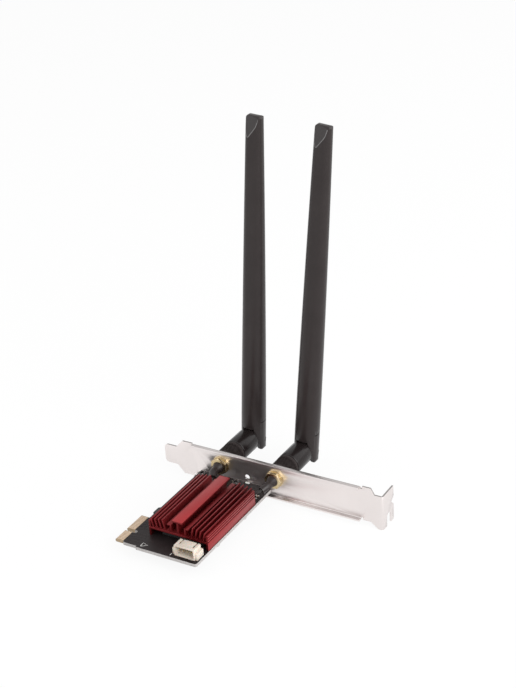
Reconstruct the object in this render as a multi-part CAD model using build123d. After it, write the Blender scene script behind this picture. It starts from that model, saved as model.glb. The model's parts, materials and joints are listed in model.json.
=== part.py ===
from build123d import *
import math
import os

# Frame: the origin is the centre of the key notch, on the line of the contact tips, at half the board's
# thickness. +X leads out of the slot along the bracket, +Y leads to the bracket and the antennas,
# +Z is the component side. Millimetres.

# Board and card edge
board_thick = 1.6
board_width = 44.9
board_front = 10.25
front_setback = 0.8
setback_end = 12.3
edge_reach = 4.9
edge_bevel = 0.4
board_corner = 1.2
key_width = 1.9
key_depth = 6.4
key_to_bracket = 58.95
board_gap = 0.2
near_contacts = 7
far_contacts = 11
contact_pitch = 1.0
contact_width = 0.72
contact_length = 4.2
contact_thick = 0.06
segment_margin = 0.825

# Slot bracket, folded from one sheet
sheet = 0.86
bend_inner = 0.4
bracket_length = 120.02
bracket_width = 18.42
board_under = 2.75
tips_to_tongue = 16.0
tongue_width = 10.19
tongue_rise = 4.15
tongue_length = 7.0
tongue_corner = 2.0
shoulder_length = 3.8
end_plain_low = 6.4
end_plain_high = 5.2
tab_taper = 1.8
tab_narrow = 3.2
tab_drop = 2.95
tab_depth = 11.43
tab_corner = 1.4
flange_depth = 2.1
relief_width = 0.9
relief_depth = 1.3
screw_slot_width = 4.42
screw_slot_offset = 6.35
screw_slot_rise = 3.6
tab_notch_depth = 2.4
tab_notch_rise = 7.6
tab_notch_half = 2.2
ear_width = 8.0
ear_depth = 7.2
ear_first = 7.4
ear_second = 26.5
ear_hole_inset = 3.6
ear_corner = 1.5
ear_bend = 0.8
indicator_hole_dia = 2.6
indicator_x = 31.3
indicator_rise = 7.25

# Board screws
board_screw_dia = 3.0
board_screw_hole_clear = 0.2
board_screw_head_dia = 4.2
board_screw_head_height = 1.2
board_screw_reach = 0.3
recess_width = 0.7
recess_length = 2.6
recess_depth = 0.7
screw_head_round = 0.45
thread_clear = 0.05

# Heat sink extrusion, heights above the board
sink_centre = 28.7
sink_length = 42.3
sink_front = 0.95
sink_base_under = 3.6
sink_base_thick = 1.1
sink_wall = 1.1
sink_wall_top = 7.9
sink_foot_width = 3.6
sink_foot_gap = 1.0
sink_foot_height = 2.0
sink_foot_setback = 7.4
fin_thick = 0.62
fin_lean = 13.0
fin_pitch = 2.15
fin_first_root = 6.9
fin_tops = (10.2, 9.85, 9.5, 9.0)
leg_offset = 3.9
leg_thick = 0.75
leg_top = 8.7
lip_reach = 1.5
lip_thick = 0.65
stem_thick = 0.95
bar_width = 5.5
bar_thick = 0.95
bar_top = 11.35
groove_width = 0.5
groove_depth = 0.45
groove_drops = (0.75, 2.05, 3.4)
sink_screw_dia = 2.0
sink_screw_inset = 9.0
sink_screw_head_dia = 3.8
sink_screw_head_height = 1.3
sink_screw_bite = 1.6
sink_screw_recess = 1.9

# Radio module
module_width = 22.0
module_length = 30.0
module_thick = 0.8
module_lift = 0.9
module_front = 7.0
module_notch = 1.8
module_insert = 3.0
socket_margin = 0.4
socket_depth = 6.2
socket_height = 2.3
socket_slot_clear = 0.06
socket_corner = 0.8
shield_width = 18.0
shield_length = 19.0
shield_height = 1.35
shield_corner = 0.8
shield_edge = 0.2
shield_front = 4.5
standoff_dia = 4.2
module_screw_dia = 2.0
module_screw_head_dia = 4.4
module_screw_head_height = 0.7
pad_margin = 1.0

# Four-way header
header_ways = 4
header_pitch = 2.0
header_width = 10.7
header_height = 5.5
header_depth = 6.0
header_wall = 0.5
header_side_wall = 0.65
header_back = 1.6
header_front = -8.2
header_centre = 37.5
header_ear_width = 1.25
header_ear_height = 3.5
header_ear_depth = 5.4
header_slot_width = 0.75
header_slot_length = 3.9
header_slot_depth = 1.9
header_slot_offset = 3.65
header_pin = 0.5
header_pin_rise = 2.9
header_pin_inset = 1.0
header_pin_tail = 1.5

# Chip parts beside the bracket, as x and the distance in front of the board's back edge
capacitor_places = ((40.6, 8.55), (42.4, 9.35), (42.3, 11.65), (38.2, 12.55))
capacitor_length = 1.6
capacitor_width = 0.8
capacitor_height = 0.8
regulator_place = (33.0, 9.55)
regulator_size = (3.0, 2.9, 1.1)
regulator_lead = 0.36
regulator_leads = (-1.0, 0.0, 1.0)
inductor_place = (7.5, 17.2)
inductor_size = (4.2, 6.0, 1.8)
inductor_corner = 0.9
inductor_edge = 0.2
indicator_inset = 0.95
indicator_size = (2.2, 1.0, 0.5)
indicator_shift = 0.6

# Coaxial jacks
jack_first = 16.55
jack_spacing = 30.2
jack_rise = 6.8
jack_hex = 8.0
jack_hex_length = 2.0
jack_hex_chamfer = 0.35
jack_hex_inset = 0.7
jack_hex_turn_degrees = {"left": 30.0, "right": 0.0}
jack_boss_dia = 4.4
jack_boss_length = 1.2
jack_thread_dia = 6.35
jack_thread_reach = 9.4
jack_hole_clear = 0.1
jack_bore_dia = 4.6
jack_bore_depth = 7.4
jack_washer_dia = 9.0
jack_washer_thick = 0.5
jack_nut_length = 2.2
insulator_clear = 0.02
insulator_recess = 2.0
contact_dia = 1.27
contact_recess = 0.8
contact_round = 0.5

# Pigtails
sleeve_dia = 3.9
sleeve_flare_dia = 5.8
sleeve_flare_run = 2.8
sleeve_flare_sink = 0.12
cable_dia = 1.37
sleeve_run = 7.4
plug_dia = 2.2
plug_height = 1.15
plug_spacing = 16.0
plug_from_end = 2.6
cable_exit_rise = 0.7
sleeve_straight = 3.4
sleeve_dip_at = 7.2
sleeve_dip = 1.2
sleeve_sway = 1.6
cable_turn_share = 0.3
cable_turn_back = 1.2
cable_turn_rise = 0.2
plug_run = 3.4
corner_share = 0.45

# Antenna connector and swivel, measured from the bracket's outer face
ring_dia = 11.8
ring_start = 2.5
ring_length = 9.6
ring_chamfer = 0.6
ring_clear = 0.07
collar_dia = 8.4
collar_length = 1.2
collar_clear = 0.1
core_dia = 6.2
core_clear = 0.05
core_reach = 16.5
core_head_dia = 7.4
core_head_length = 0.8
core_seat_gap = 0.1
knuckle_dia = 11.9
knuckle_gap = 0.2
knuckle_chamfer = 0.5
elbow_from_face = 31.25
hinge_offset = 1.6
tongue_thick = 5.6
tongue_radius = 7.2
tongue_low = 5.8
tongue_high = 5.6
tongue_end = 3.3
tongue_round = 1.2
tongue_clear = 0.25
pin_dia = 2.4
pin_half = 5.75
pin_round = 0.3
pin_run_clear = 0.04
pin_press_clear = 0.01

# Antenna blade, measured from the elbow where its axis meets the jack's axis.
# The pin lies behind and below the elbow by the same offset, so that a blade folded straight back
# lies on the jack's axis.
lean_left_degrees = 4.0
lean_right_degrees = 5.7
yoke_reach = 6.6
yoke_swing_clear = 0.6
yoke_height = 13.0
yoke_roof = 6.4
yoke_edge = 2.6
ear_front_top = -5.6
ear_front_points = ((-4.4, 0.8), (-1.9, -7.2))
ear_back = 5.4
ear_end_round = 2.3
seam_height = 7.55
seam_width = 0.3
seam_depth = 0.3
seam_front = -2.6
spigot_length = 7.5
spigot_clear = 0.1
blade_length = 169.9
blade_mid = 88.0
blade_base_size = (12.3, 12.3, 6.1)
blade_mid_size = (11.0, 8.6, 4.2)
blade_tip_size = (8.3, 5.6, 2.6)
blade_tip_corner = 2.0
blade_tip_round = 2.5
blade_tip_flare = 8.0
blade_bore_base = 3.5
blade_bore_tip = 1.6
blade_bore_end = 148.0
facet_drop = 12.2
facet_low = 1.6
facet_depth = 2.2
radiator_tube_dia = 4.4
radiator_tube_length = 42.0
radiator_rod_dia = 1.2
radiator_end_gap = 4.0

# Derived places
board_top = board_thick / 2
board_back = key_to_bracket - board_gap
bracket_low = -board_top - board_under
bracket_high = bracket_low + bracket_width
bracket_start = -tips_to_tongue
bracket_end = bracket_start + bracket_length
plate_in = key_to_bracket
plate_out = key_to_bracket + sheet
socket_width = module_width + 2 * socket_margin
sink_width = socket_width + 2 * (sink_foot_gap + sink_foot_width)
sink_back = sink_front + sink_length
module_low = board_top + module_lift
module_top = module_low + module_thick
module_end = module_front + module_length
shield_top = module_top + shield_height
elbow_y = plate_out + elbow_from_face
ears = (ear_first, ear_second)
ear_hole_y = plate_in - ear_hole_inset
jack_places = (
    ("left", jack_first, lean_left_degrees),
    ("right", jack_first + jack_spacing, lean_right_degrees),
)


def block(x0, x1, y0, y1, z0, z1):
    return Pos((x0 + x1) / 2, (y0 + y1) / 2, (z0 + z1) / 2) * Box(x1 - x0, y1 - y0, z1 - z0)


def prism_up(face, z0, z1):
    return extrude(Plane((0, 0, z0)) * face, z1 - z0)


def prism_back(face, y0, y1):
    # The face is drawn as (x, z)
    return extrude(Plane((0, y1, 0), x_dir=(1, 0, 0), z_dir=(0, -1, 0)) * face, y1 - y0)


def prism_along(face, x0, x1):
    # The face is drawn as (y, z)
    return extrude(Plane((x0, 0, 0), x_dir=(0, 1, 0), z_dir=(1, 0, 0)) * face, x1 - x0)


def rect(a0, a1, b0, b1):
    return Pos((a0 + a1) / 2, (b0 + b1) / 2) * Rectangle(a1 - a0, b1 - b0)


def rod_y(x, z, y0, y1, dia):
    return Pos(x, (y0 + y1) / 2, z) * Rot(90, 0, 0) * Cylinder(dia / 2, y1 - y0)


def rod_z(x, y, z0, z1, dia):
    return Pos(x, y, (z0 + z1) / 2) * Cylinder(dia / 2, z1 - z0)


def turned_y(points):
    # The points are (radius, y); the solid is turned about the Y axis
    return revolve(Polygon(*points, align=None), Axis.Y)


def hexagon_y(x, z, y0, y1, flats, turn_degrees=30):
    outline = RegularPolygon(flats / 2, 6, major_radius=False, rotation=turn_degrees)
    return Pos(x, 0, z) * prism_back(outline, y0, y1)


def sink_screw_places():
    inset = sink_width / 2 - sink_foot_width / 2
    for side in (-1, 1):
        for y in (sink_front + sink_screw_inset, sink_back - sink_screw_inset):
            yield sink_centre + side * inset, y


# Board, with its key notch, bevelled card edge and holes
def make_board():
    tip_near = -(key_width / 2 + 2 * segment_margin + (near_contacts - 1) * contact_pitch)
    tip_far = key_width / 2 + 2 * segment_margin + (far_contacts - 1) * contact_pitch
    outline = Polygon(
        (0, tip_near), (edge_reach, tip_near), (edge_reach, -board_front + front_setback),
        (setback_end, -board_front + front_setback), (setback_end, -board_front),
        (board_width, -board_front), (board_width, board_back), (edge_reach, board_back),
        (edge_reach, tip_far), (0, tip_far), align=None)
    outline = fillet(outline.vertices().group_by(Axis.X)[-1], board_corner)
    board = prism_up(outline, -board_top, board_top)
    tip_edges = board.edges().filter_by(Axis.Y).group_by(Axis.X)[0]
    board = chamfer(tip_edges, edge_bevel)
    key = rect(-1, key_depth - key_width / 2, -key_width / 2, key_width / 2)
    key += Pos(key_depth - key_width / 2, 0) * Circle(key_width / 2)
    board -= prism_up(key, -board_thick, board_thick)
    holes = [(x, ear_hole_y, board_screw_dia) for x in ears]
    holes += [(x, y, sink_screw_dia) for x, y in sink_screw_places()]
    for x, y, dia in holes:
        board -= rod_z(x, y, -board_thick, board_thick, dia + 2 * board_screw_hole_clear)
    return board


def contact_centres():
    first = key_width / 2 + segment_margin
    for i in range(near_contacts):
        yield -first - i * contact_pitch
    for i in range(far_contacts):
        yield first + i * contact_pitch


def make_contacts(z0):
    half = contact_width / 2
    z1 = z0 + contact_thick
    return [block(edge_bevel, contact_length, y - half, y + half, z0, z1) for y in contact_centres()]


# Bracket: flat plate with tongue, two flanges, the screw tab and two ears under the board
def bracket_plate():
    x0 = bracket_start
    neck = x0 + tongue_length
    body = neck + shoulder_length
    taper = bracket_end - sheet - tab_taper
    low = bracket_low + tongue_rise
    outline = Polygon(
        (x0, low), (neck, low), (body, bracket_low), (taper - 2 * tab_taper, bracket_low),
        (taper, bracket_low - tab_drop), (bracket_end - bend_inner - sheet, bracket_low - tab_drop),
        (bracket_end - bend_inner - sheet, bracket_high - tab_narrow),
        (taper - tab_taper, bracket_high - tab_narrow),
        (taper - 2 * tab_taper, bracket_high), (body, bracket_high),
        (neck, low + tongue_width), (x0, low + tongue_width), align=None)
    plate = prism_back(outline, plate_in, plate_out)
    ends = plate.edges().filter_by(Axis.Y).group_by(Axis.X)[0]
    return fillet(ends, tongue_corner)


def channel_section():
    outer = rect(plate_in - flange_depth, plate_out, bracket_low, bracket_high)
    outer = fillet(outer.vertices().group_by(Axis.X)[-1], bend_inner + sheet)
    inner = rect(plate_in - 2 * flange_depth, plate_in, bracket_low + sheet, bracket_high - sheet)
    inner = fillet(inner.vertices().group_by(Axis.X)[-1], bend_inner)
    return outer - inner


def bracket_tab():
    low = bracket_low - tab_drop
    high = bracket_high - tab_narrow
    slot_y = plate_in + screw_slot_offset
    far = plate_in + tab_depth
    notch_z = bracket_low + tab_notch_rise
    bend = bend_inner + sheet
    side = rect(plate_in + bend, far, low, high)
    side = fillet(side.vertices().group_by(Axis.X)[-1].sort_by(Axis.Y)[0], tab_corner)
    spread = tab_notch_half * (1 + 1 / tab_notch_depth)
    side -= Polygon((far - tab_notch_depth, notch_z), (far + 1, notch_z - spread),
                    (far + 1, notch_z + spread), align=None)
    slot_end = bracket_low + screw_slot_rise - screw_slot_width / 2
    slot = rect(slot_y - screw_slot_width / 2, slot_y + screw_slot_width / 2, low - 1, slot_end)
    slot += Pos(slot_y, slot_end) * Circle(screw_slot_width / 2)
    tab = prism_along(side - slot, bracket_end - sheet, bracket_end)
    # The quarter bend that joins the tab to the plate
    corner = Pos(bracket_end - bend, plate_in + bend) * (Circle(bend) - Circle(bend_inner))
    corner &= rect(bracket_end - bend, bracket_end, plate_in, plate_in + bend)
    return tab + prism_up(corner, low, high)


def bracket_ear(x):
    half = ear_width / 2
    z1 = -board_top
    ear = block(x - half, x + half, plate_in - ear_depth, plate_out, z1 - sheet, z1)
    tips = ear.edges().filter_by(Axis.Z).group_by(Axis.Y)[0]
    ear = fillet(tips, ear_corner)
    bend = ear.edges().filter_by(Axis.X).group_by(Axis.Y)[-1].sort_by(Axis.Z)[0]
    ear = fillet(bend, ear_bend)
    return ear - rod_z(x, ear_hole_y, z1 - 2 * sheet, z1 + sheet, board_screw_dia + 2 * thread_clear)


def make_bracket():
    flange_start = bracket_start + tongue_length + shoulder_length + end_plain_low
    flange_end = bracket_end - sheet - 3 * tab_taper - end_plain_high
    plate = bracket_plate()
    plate -= block(flange_start - relief_width, flange_end + relief_width, plate_in - 1, plate_out + 1,
                   bracket_low - 1, bracket_low + relief_depth)
    plate -= block(flange_start - relief_width, flange_end + relief_width, plate_in - 1, plate_out + 1,
                   bracket_high - relief_depth, bracket_high + 1)
    bracket = plate + prism_along(channel_section(), flange_start, flange_end)
    bracket += bracket_tab()
    for x in ears:
        half = ear_width / 2 + relief_width
        bracket -= block(x - half, x + half, plate_in - flange_depth - 1, plate_out + 1,
                         bracket_low - 1, -board_top - sheet / 2)
        bracket += bracket_ear(x)
    for _, x, _ in jack_places:
        z = jack_rise
        bracket -= rod_y(x, z, plate_in - 1, plate_out + 1, jack_thread_dia + 2 * jack_hole_clear)
    z = bracket_low + indicator_rise
    return bracket - rod_y(indicator_x, z, plate_in - 1, plate_out + 1, indicator_hole_dia)


def cross_recess(x, y, top, length, width, depth):
    half = length / 2
    side = width / 2
    cut = block(x - half, x + half, y - side, y + side, top - depth, top + depth)
    return cut + block(x - side, x + side, y - half, y + half, top - depth, top + depth)


def make_board_screws():
    screws = []
    for x in ears:
        head_top = board_top + board_screw_head_height
        low = -board_top - sheet - board_screw_reach
        screw = rod_z(x, ear_hole_y, low, board_top, board_screw_dia)
        head = rod_z(x, ear_hole_y, board_top, head_top, board_screw_head_dia)
        rim = head.edges().group_by(Axis.Z)[-1]
        head = fillet(rim, screw_head_round * board_screw_head_height)
        screw = screw + head
        recess = cross_recess(x, ear_hole_y, head_top, recess_length, recess_width, recess_depth)
        screws.append(screw - recess)
    return screws


# Heat sink, one extruded section along the card
def fin_outline(side, index):
    root = board_top + sink_base_under + sink_base_thick / 2
    top = board_top + fin_tops[index]
    shift = math.tan(math.radians(fin_lean)) * (top - root)
    inner = fin_first_root + index * fin_pitch
    half = fin_thick / 2
    points = [(inner - half, root), (inner + half, root),
              (inner + half + shift, top), (inner - half + shift, top)]
    # The mirrored fin's points run the other way round, so that both faces point the same way
    return Polygon(*[(sink_centre + side * x, z) for x, z in points[::side]], align=None)


def leg_outline(side):
    root = board_top + sink_base_under
    top = board_top + leg_top
    x = sink_centre + side * leg_offset
    half = leg_thick / 2
    tip = x + side * (half + lip_reach)
    inner = x - side * half
    leg = rect(x - half, x + half, root, top)
    return leg + rect(min(inner, tip), max(inner, tip), top - lip_thick, top)


def wall_outline(side):
    face = sink_centre + side * sink_width / 2
    inner = face - side * sink_wall
    foot = face - side * sink_foot_width
    top = board_top + sink_wall_top
    wall = rect(min(face, inner), max(face, inner), board_top, top)
    wall += rect(min(face, foot), max(face, foot), board_top, board_top + sink_foot_height)
    for drop in groove_drops:
        bottom = face - side * groove_depth
        mouth = face + side
        low = top - drop - groove_width / 2
        wall -= rect(min(bottom, mouth), max(bottom, mouth), low, low + groove_width)
    return wall


def foot_relief(side, y0, y1):
    inner = sink_centre + side * (sink_width / 2 - sink_wall)
    end = sink_centre + side * (sink_width / 2 - sink_foot_width - 1)
    return block(min(inner, end), max(inner, end), y0, y1, board_top - 1, board_top + sink_foot_height)


def make_heat_sink():
    low = board_top + sink_base_under
    high = low + sink_base_thick
    half = sink_width / 2 - sink_wall / 2
    section = rect(sink_centre - half, sink_centre + half, low, high)
    bar = board_top + bar_top
    section += rect(sink_centre - stem_thick / 2, sink_centre + stem_thick / 2, low, bar)
    section += rect(sink_centre - bar_width / 2, sink_centre + bar_width / 2, bar - bar_thick, bar)
    for side in (-1, 1):
        section += wall_outline(side)
        section += leg_outline(side)
        for index in range(len(fin_tops)):
            section += fin_outline(side, index)
    sink = prism_back(section, sink_front, sink_back)
    for side in (-1, 1):
        sink -= foot_relief(side, sink_front - 1, sink_front + sink_foot_setback)
        sink -= foot_relief(side, sink_back - sink_foot_setback, sink_back + 1)
    for x, y in sink_screw_places():
        sink -= rod_z(x, y, board_top - 1, board_top + sink_foot_height, sink_screw_dia + 2 * thread_clear)
    return sink


def make_sink_screws():
    screws = []
    for x, y in sink_screw_places():
        head_low = -board_top - sink_screw_head_height
        head = rod_z(x, y, head_low, -board_top, sink_screw_head_dia)
        head = fillet(head.edges().group_by(Axis.Z)[0], screw_head_round * sink_screw_head_height)
        screw = head + rod_z(x, y, -board_top, board_top + sink_screw_bite, sink_screw_dia)
        screws.append(screw - cross_recess(x, y, head_low, sink_screw_recess, recess_width, recess_depth))
    return screws


# Radio module in its edge socket, clamped by one screw on a standoff
def make_module_board():
    half = module_width / 2
    board = block(sink_centre - half, sink_centre + half, module_front, module_end, module_low, module_top)
    return board - rod_z(sink_centre, module_end, module_low - 1, module_top + 1, 2 * module_notch)


def make_module_shield():
    half = shield_width / 2
    y0 = module_front + shield_front
    can = block(sink_centre - half, sink_centre + half, y0, y0 + shield_length, module_top, shield_top)
    can = fillet(can.edges().filter_by(Axis.Z), shield_corner)
    return chamfer(can.edges().group_by(Axis.Z)[-1], shield_edge)


def make_thermal_pad():
    half = shield_width / 2 - pad_margin
    y0 = module_front + shield_front + pad_margin
    y1 = module_front + shield_front + shield_length - pad_margin
    return block(sink_centre - half, sink_centre + half, y0, y1, shield_top, board_top + sink_base_under)


def make_module_socket():
    half = socket_width / 2
    y1 = module_front + module_insert
    body = block(sink_centre - half, sink_centre + half, y1 - socket_depth, y1,
                 board_top, board_top + socket_height)
    body = chamfer(body.edges().filter_by(Axis.Z), socket_corner)
    c = socket_slot_clear
    slot_half = module_width / 2 + c
    return body - block(sink_centre - slot_half, sink_centre + slot_half, module_front - c, y1 + 1,
                        module_low - c, module_top + c)


def make_module_standoff():
    post = rod_z(sink_centre, module_end, board_top, module_low, standoff_dia)
    post += rod_z(sink_centre, module_end, module_low, module_top, 2 * module_notch - 2 * thread_clear)
    bore = module_screw_dia + 2 * thread_clear
    return post - rod_z(sink_centre, module_end, board_top, module_top + 1, bore)


def make_module_screw():
    head_top = module_top + module_screw_head_height
    screw = rod_z(sink_centre, module_end, board_top + thread_clear, module_top, module_screw_dia)
    screw += rod_z(sink_centre, module_end, module_top, head_top, module_screw_head_dia)
    return screw - cross_recess(sink_centre, module_end, head_top, recess_length, recess_width,
                                recess_depth / 2)


# Four-way header: an open-fronted housing with two side ears, and bent pins
def make_header_housing():
    half = header_width / 2
    back = header_front + header_depth
    top = board_top + header_height
    housing = block(header_centre - half, header_centre + half, header_front, back, board_top, top)
    inside = half - header_side_wall
    housing -= block(header_centre - inside, header_centre + inside, header_front - 1, back - header_back,
                     board_top + header_wall, top - header_wall)
    for side in (-1, 1):
        x = header_centre + side * header_slot_offset
        slot_half = header_slot_width / 2
        housing -= block(x - slot_half, x + slot_half, back - header_slot_length, back + 1,
                         top - header_slot_depth, top + 1)
        ear_in = header_centre + side * half
        ear_out = ear_in + side * header_ear_width
        housing += block(min(ear_in, ear_out), max(ear_in, ear_out), back - header_ear_depth, back,
                         board_top, board_top + header_ear_height)
    for x in header_pin_places():
        room = header_pin / 2 + thread_clear
        housing -= block(x - room, x + room, back - header_back - 1, back + 1,
                         board_top + header_pin_rise - room, board_top + header_pin_rise + room)
    return housing


def header_pin_places():
    first = header_centre - (header_ways - 1) * header_pitch / 2
    return [first + i * header_pitch for i in range(header_ways)]


def make_header_pins():
    back = header_front + header_depth
    half = header_pin / 2
    z = board_top + header_pin_rise
    pins = []
    for x in header_pin_places():
        front = header_front + header_pin_inset
        pin = block(x - half, x + half, front, back + header_pin, z - half, z + half)
        pin += block(x - half, x + half, back + thread_clear, back + header_pin, board_top, z + half)
        pin += block(x - half, x + half, back + thread_clear, back + header_pin_tail,
                     board_top, board_top + half)
        pins.append(pin)
    return pins


# Chip parts
def make_capacitors():
    a = capacitor_length / 2
    b = capacitor_width / 2
    z1 = board_top + capacitor_height
    places = [(x, board_back - inset) for x, inset in capacitor_places]
    return [block(x - a, x + a, y - b, y + b, board_top, z1) for x, y in places]


def make_regulator():
    x, inset = regulator_place
    y = board_back - inset
    length, width, height = regulator_size
    body = block(x - length / 2, x + length / 2, y - width / 4, y + width / 4,
                 board_top, board_top + height)
    lead = regulator_lead
    for shift in regulator_leads:
        x0 = x + shift - lead / 2
        body += block(x0, x0 + lead, y - width / 2, y + width / 2, board_top, board_top + lead)
    return body


def make_inductor():
    x, y = inductor_place
    length, width, height = inductor_size
    body = block(x - length / 2, x + length / 2, y - width / 2, y + width / 2,
                 board_top, board_top + height)
    body = chamfer(body.edges().filter_by(Axis.Z), inductor_corner)
    return chamfer(body.edges().group_by(Axis.Z)[-1], inductor_edge)


def make_indicator():
    x = indicator_x + indicator_shift
    y = board_back - indicator_inset
    length, width, height = indicator_size
    return block(x - length / 2, x + length / 2, y - width / 2, y + width / 2,
                 board_top, board_top + height)


# Coaxial jack with its washer, nut, insulator and centre contact
def make_jack(x, turn_degrees):
    seat = plate_in - jack_washer_thick
    back = seat - jack_hex_length
    front = plate_out + jack_thread_reach
    flange = hexagon_y(0, 0, back, seat, jack_hex, turn_degrees)
    corner = jack_hex / math.sqrt(3) + thread_clear
    cone = turned_y([(0, back), (corner - jack_hex_inset, back), (corner, back + jack_hex_chamfer),
                     (corner, seat), (0, seat)])
    jack = flange & cone
    jack += rod_y(0, 0, seat, front, jack_thread_dia)
    jack += rod_y(0, 0, back - jack_boss_length, back, jack_boss_dia)
    jack -= rod_y(0, 0, front - jack_bore_depth, front + 1, jack_bore_dia)
    return Pos(x, 0, jack_rise) * jack


def make_jack_washer(x):
    y0 = plate_in - jack_washer_thick
    ring = rod_y(x, jack_rise, y0, plate_in, jack_washer_dia)
    return ring - rod_y(x, jack_rise, y0 - 1, plate_in + 1, jack_thread_dia + 2 * thread_clear)


def make_jack_nut(x):
    y1 = plate_out + jack_nut_length
    nut = hexagon_y(x, jack_rise, plate_out, y1, jack_hex)
    return nut - rod_y(x, jack_rise, plate_out - 1, y1 + 1, jack_thread_dia + 2 * thread_clear)


def make_jack_insulator(x):
    front = plate_out + jack_thread_reach
    y0 = front - jack_bore_depth
    body = rod_y(x, jack_rise, y0, front - insulator_recess, jack_bore_dia - 2 * insulator_clear)
    return body - rod_y(x, jack_rise, y0 - 1, front, contact_dia + 2 * insulator_clear)


def make_jack_contact(x):
    front = plate_out + jack_thread_reach
    pin = rod_y(x, jack_rise, front - jack_bore_depth, front - contact_recess, contact_dia)
    return fillet(pin.edges().group_by(Axis.Y)[-1], contact_round)


# Pigtail: a shrink sleeve on the jack, then a thin cable to a plug on the module
def plug_place(side):
    return sink_centre + side * plug_spacing / 2, module_end - plug_from_end


def pigtail_route(x, side):
    start = plate_in - jack_washer_thick - jack_hex_length - jack_boss_length
    px, py = plug_place(side)
    low = module_top + cable_exit_rise
    return [
        (x, start, jack_rise),
        (x, start - sleeve_straight, jack_rise),
        (x - side * sleeve_sway, start - sleeve_dip_at, jack_rise - sleeve_dip),
        (px + (x - px) * cable_turn_share, sink_back + cable_turn_back, low + cable_turn_rise),
        (px, py + plug_run, low),
        (px, py + plug_dia / 2, low),
    ]


def route_radii(points):
    # Each corner's arc takes the same share of its shorter run
    radii = []
    for a, b, c in zip(points, points[1:], points[2:]):
        turn = (Vector(*b) - Vector(*a)).get_angle(Vector(*c) - Vector(*b))
        run = min((Vector(*b) - Vector(*a)).length, (Vector(*c) - Vector(*b)).length)
        radii.append(corner_share * run / math.tan(math.radians(turn / 2)))
    return radii


def route_path(points):
    return FilletPolyline(*points, radius=route_radii(points))


def tube_along(path, dia):
    start = Plane(path @ 0, z_dir=path % 0)
    return sweep(start * Circle(dia / 2), path=path)


def make_cable(x, side):
    path = route_path(pigtail_route(x, side))
    print("cable radii", [round(r, 1) for r in route_radii(pigtail_route(x, side))])
    tube = tube_along(path, cable_dia)
    expected = math.pi * cable_dia ** 2 / 4 * path.length
    print("cable length", round(path.length, 1), "volume ratio", round(tube.volume / expected, 4))
    return tube


def make_sleeve(x, side, cable):
    points = pigtail_route(x, side)
    turn = Vector(*points[1])
    end = turn + (Vector(*points[2]) - turn).normalized() * (sleeve_run / 2)
    path = route_path([points[0], points[1], tuple(end)])
    start = points[0][1]
    hexagon = start + jack_boss_length
    narrow = hexagon - sleeve_flare_run
    neck = sleeve_dia / 2 - sleeve_flare_sink
    flare = turned_y([(0, hexagon), (sleeve_flare_dia / 2, hexagon), (neck, narrow), (0, narrow)])
    sleeve = tube_along(path, sleeve_dia) + Pos(x, 0, jack_rise) * flare
    sleeve -= rod_y(x, jack_rise, start, hexagon + 1, jack_boss_dia + 2 * insulator_clear)
    return sleeve - cable


def make_plug(side):
    x, y = plug_place(side)
    return rod_z(x, y, module_top, module_top + plug_height, plug_dia)


# Antenna connector: a fixed core, a free coupling ring and the swivel knuckle.
# They are drawn about the jack's axis, with y from the bracket's outer face.
def place_on_jack(x, solid):
    return Pos(x, plate_out, jack_rise) * solid


def make_ring(x):
    r = ring_dia / 2
    y0 = ring_start
    y1 = ring_start + ring_length
    thread = jack_thread_dia / 2 + ring_clear
    room = collar_dia / 2 + collar_clear
    lip = core_dia / 2 + collar_clear
    seat = jack_thread_reach - collar_clear
    far = jack_thread_reach + core_seat_gap + collar_length + 2 * collar_clear
    c = ring_chamfer
    return place_on_jack(x, turned_y([
        (thread, y0), (r - c, y0), (r, y0 + c), (r, y1 - c), (r - c, y1), (lip, y1),
        (lip, far), (room, far), (room, seat), (thread, seat)]))


def make_core(x):
    seat = jack_thread_reach + core_seat_gap
    collar = collar_dia / 2
    shaft = core_dia / 2
    head = core_head_dia / 2
    end = core_reach + core_head_length
    return place_on_jack(x, turned_y([
        (0, seat), (collar, seat), (collar, seat + collar_length), (shaft, seat + collar_length),
        (shaft, core_reach), (head, core_reach), (head, end), (0, end)]))


def make_knuckle(x, lean):
    r = knuckle_dia / 2
    c = knuckle_chamfer
    y0 = ring_start + ring_length + knuckle_gap
    pin = elbow_from_face + hinge_offset
    shoulder = pin - yoke_reach - yoke_swing_clear
    bore = core_dia / 2 + core_clear
    room = core_head_dia / 2 + core_clear
    far = core_reach + core_head_length + collar_clear
    body = turned_y([
        (bore, y0), (r - c, y0), (r, y0 + c), (r, shoulder - c), (r - c, shoulder), (0, shoulder),
        (0, far), (room, far), (room, core_reach - collar_clear), (bore, core_reach - collar_clear)])
    root = shoulder - c
    end = pin + tongue_end
    swing = rect(root, pin, -tongue_low, tongue_high) + Pos(pin, -hinge_offset) * Circle(tongue_radius)
    side = rect(root, end, -tongue_low, tongue_high) & swing
    side = fillet(side.vertices().group_by(Axis.X)[-1], tongue_round)
    side -= Pos(pin, -hinge_offset) * Circle(pin_dia / 2 + pin_run_clear)
    tongue = prism_along(side, -tongue_thick / 2, tongue_thick / 2)
    body += tongue & rod_y(0, 0, root, end, knuckle_dia)
    return place_on_jack(x, Rot(0, lean, 0) * body)


# Antenna blade: drawn upright about the elbow, with the hinge pin along X
def place_on_elbow(x, lean, solid):
    return Pos(x, elbow_y, jack_rise) * Rot(0, lean, 0) * solid


def on_pin(solid):
    return Pos(0, hinge_offset, -hinge_offset) * solid


def section_at(z, size):
    width, depth, corner = size
    return Plane((0, 0, z)) * RectangleRounded(width, depth, corner)


def yoke_side(reach, low):
    # Outline of the yoke and its ears seen along the pin, wider than the yoke above the slot
    side = Polygon(
        (-reach, yoke_height), (-reach, yoke_roof), (ear_front_top, yoke_roof), *ear_front_points,
        (ear_back, low), (ear_back, yoke_roof), (reach, yoke_roof), (reach, yoke_height), align=None)
    return fillet(side.vertices().sort_by(Axis.Y)[:2], ear_end_round)


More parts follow.
